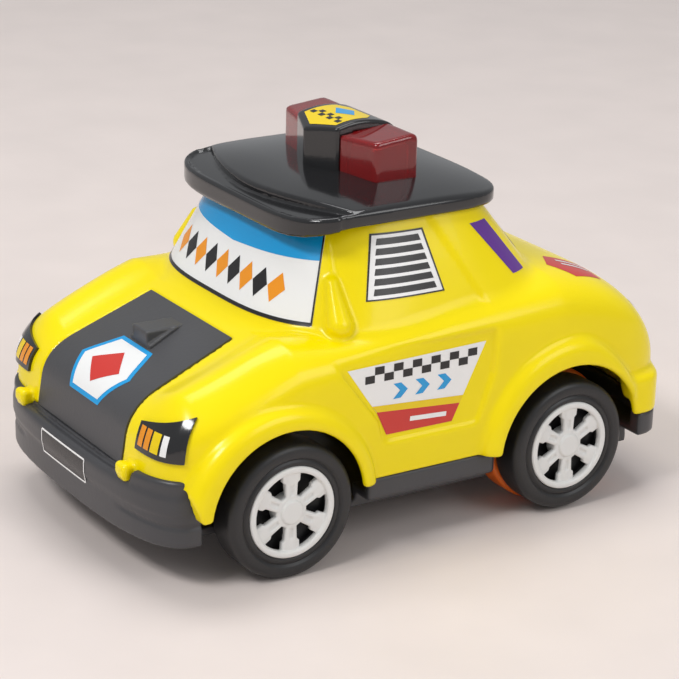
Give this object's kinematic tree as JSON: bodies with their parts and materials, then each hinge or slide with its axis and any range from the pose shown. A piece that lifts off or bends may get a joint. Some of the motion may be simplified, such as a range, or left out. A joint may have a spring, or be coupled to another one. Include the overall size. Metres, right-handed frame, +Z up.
{
  "type": "friction-drive toy taxi",
  "caption": "Chunky toy taxi with a hollow body, black roof cap with light bar, spoked wheels that roll and a friction flywheel motor on the rear axle.",
  "frame": {"origin": "middle of the car's plan, on the floor that the wheels stand on", "axes": "+Y from the front to the rear along the car, +Z up, +X towards the car's left side"},
  "size_m": [0.115, 0.181, 0.1146],
  "materials": {
    "body": "glossy yellow moulded plastic",
    "panel": "satin dark-grey plastic",
    "screen_print": "glossy printed sticker on white plastic",
    "black_gloss": "glossy black plastic",
    "red_lens": "translucent red plastic",
    "chassis": "dark-grey plastic with a soft sheen",
    "motor_case": "plain grey plastic",
    "tyre": "black soft plastic with a low sheen",
    "hub": "white plastic",
    "drive_rubber": "orange soft rubber",
    "gear": "natural gear plastic",
    "steel": "bright steel"
  },
  "bodies": {
    "car_body": {"body_shell": "body", "bonnet_panel": "panel", "windscreen_panel": "screen_print", "headlight_left": "black_gloss", "headlight_right": "black_gloss", "roof_cap": "black_gloss", "light_bar_lens": "red_lens", "sign_cover": "black_gloss", "roof_screws": "steel", "chassis": "chassis", "chassis_screws": "steel", "front_bearing_left": "motor_case", "front_bearing_right": "motor_case", "bearing_screws": "steel", "motor_case_left": "motor_case", "motor_case_right": "motor_case", "motor_screws": "steel", "case_screws": "steel", "idler_shaft": "steel", "flywheel_shaft": "steel"},
    "front_wheelset": {"front_axle": "steel", "front_tyre_left": "tyre", "front_tyre_right": "tyre", "front_hub_left": "hub", "front_hub_right": "hub"},
    "rear_wheelset": {"rear_axle": "steel", "rear_tyre_left": "tyre", "rear_tyre_right": "tyre", "rear_hub_left": "hub", "rear_hub_right": "hub", "drive_ring_left": "drive_rubber", "drive_ring_right": "drive_rubber", "drive_gear": "gear"},
    "idler": {"idler_gear": "gear"},
    "flywheel": {"flywheel": "steel"}
  },
  "joints": [
    {"name": "front_roll", "type": "hinge", "parent": "car_body", "child": "front_wheelset", "pos_m": [0, -0.0479, 0.02], "axis": [1, 0, 0], "continuous": true},
    {"name": "rear_roll", "type": "hinge", "parent": "car_body", "child": "rear_wheelset", "pos_m": [0, 0.0481, 0.0208], "axis": [1, 0, 0], "continuous": true},
    {"name": "idler_spin", "type": "hinge", "parent": "car_body", "child": "idler", "pos_m": [0, 0.03984, 0.0326], "axis": [1, 0, 0], "continuous": true},
    {"name": "flywheel_spin", "type": "hinge", "parent": "car_body", "child": "flywheel", "pos_m": [0, 0.02566, 0.0301], "axis": [1, 0, 0], "continuous": true}
  ],
  "couplings": [
    {"joint": "idler_spin", "follows": "flywheel_spin", "ratio": -0.38462},
    {"joint": "rear_roll", "follows": "flywheel_spin", "ratio": 0.14793}
  ]
}
